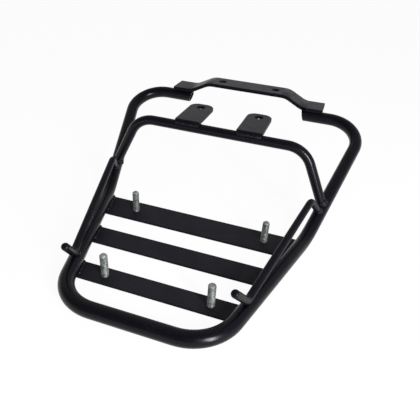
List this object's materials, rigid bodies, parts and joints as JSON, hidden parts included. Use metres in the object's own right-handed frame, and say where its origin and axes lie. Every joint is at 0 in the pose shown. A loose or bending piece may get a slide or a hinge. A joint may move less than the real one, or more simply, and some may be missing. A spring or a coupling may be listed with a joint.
{
  "type": "motorcycle luggage rack",
  "caption": "Bent-tube motorcycle luggage rack with flat slats, threaded studs, a riser hoop with bolt tabs, a raised bolt strap and rod hooks for straps, in black paint.",
  "frame": {"origin": "on the mirror plane, half way along the rack, at the underside of the slats", "axes": "+X across the rack, +Y from the narrow end to the strap end, +Z along the studs and the bolt holes, away from the carrying side"},
  "size_m": [0.3442, 0.4083, 0.1185],
  "materials": {
    "frame_paint": "satin black paint over steel",
    "stud_zinc": "zinc plated"
  },
  "bodies": {
    "root": {"main_tube": "frame_paint", "hoop_tube": "frame_paint", "front_slat": "frame_paint", "middle_slat": "frame_paint", "rear_slat": "frame_paint", "left_tab": "frame_paint", "right_tab": "frame_paint", "strap": "frame_paint", "left_hook": "frame_paint", "right_hook": "frame_paint", "slat_welds": "frame_paint", "stud_welds": "frame_paint", "hoop_welds": "frame_paint", "tab_welds": "frame_paint", "strap_welds": "frame_paint", "hook_welds": "frame_paint", "front_left_stud": "stud_zinc", "front_right_stud": "stud_zinc", "rear_left_stud": "stud_zinc", "rear_right_stud": "stud_zinc"}
  },
  "joints": []
}
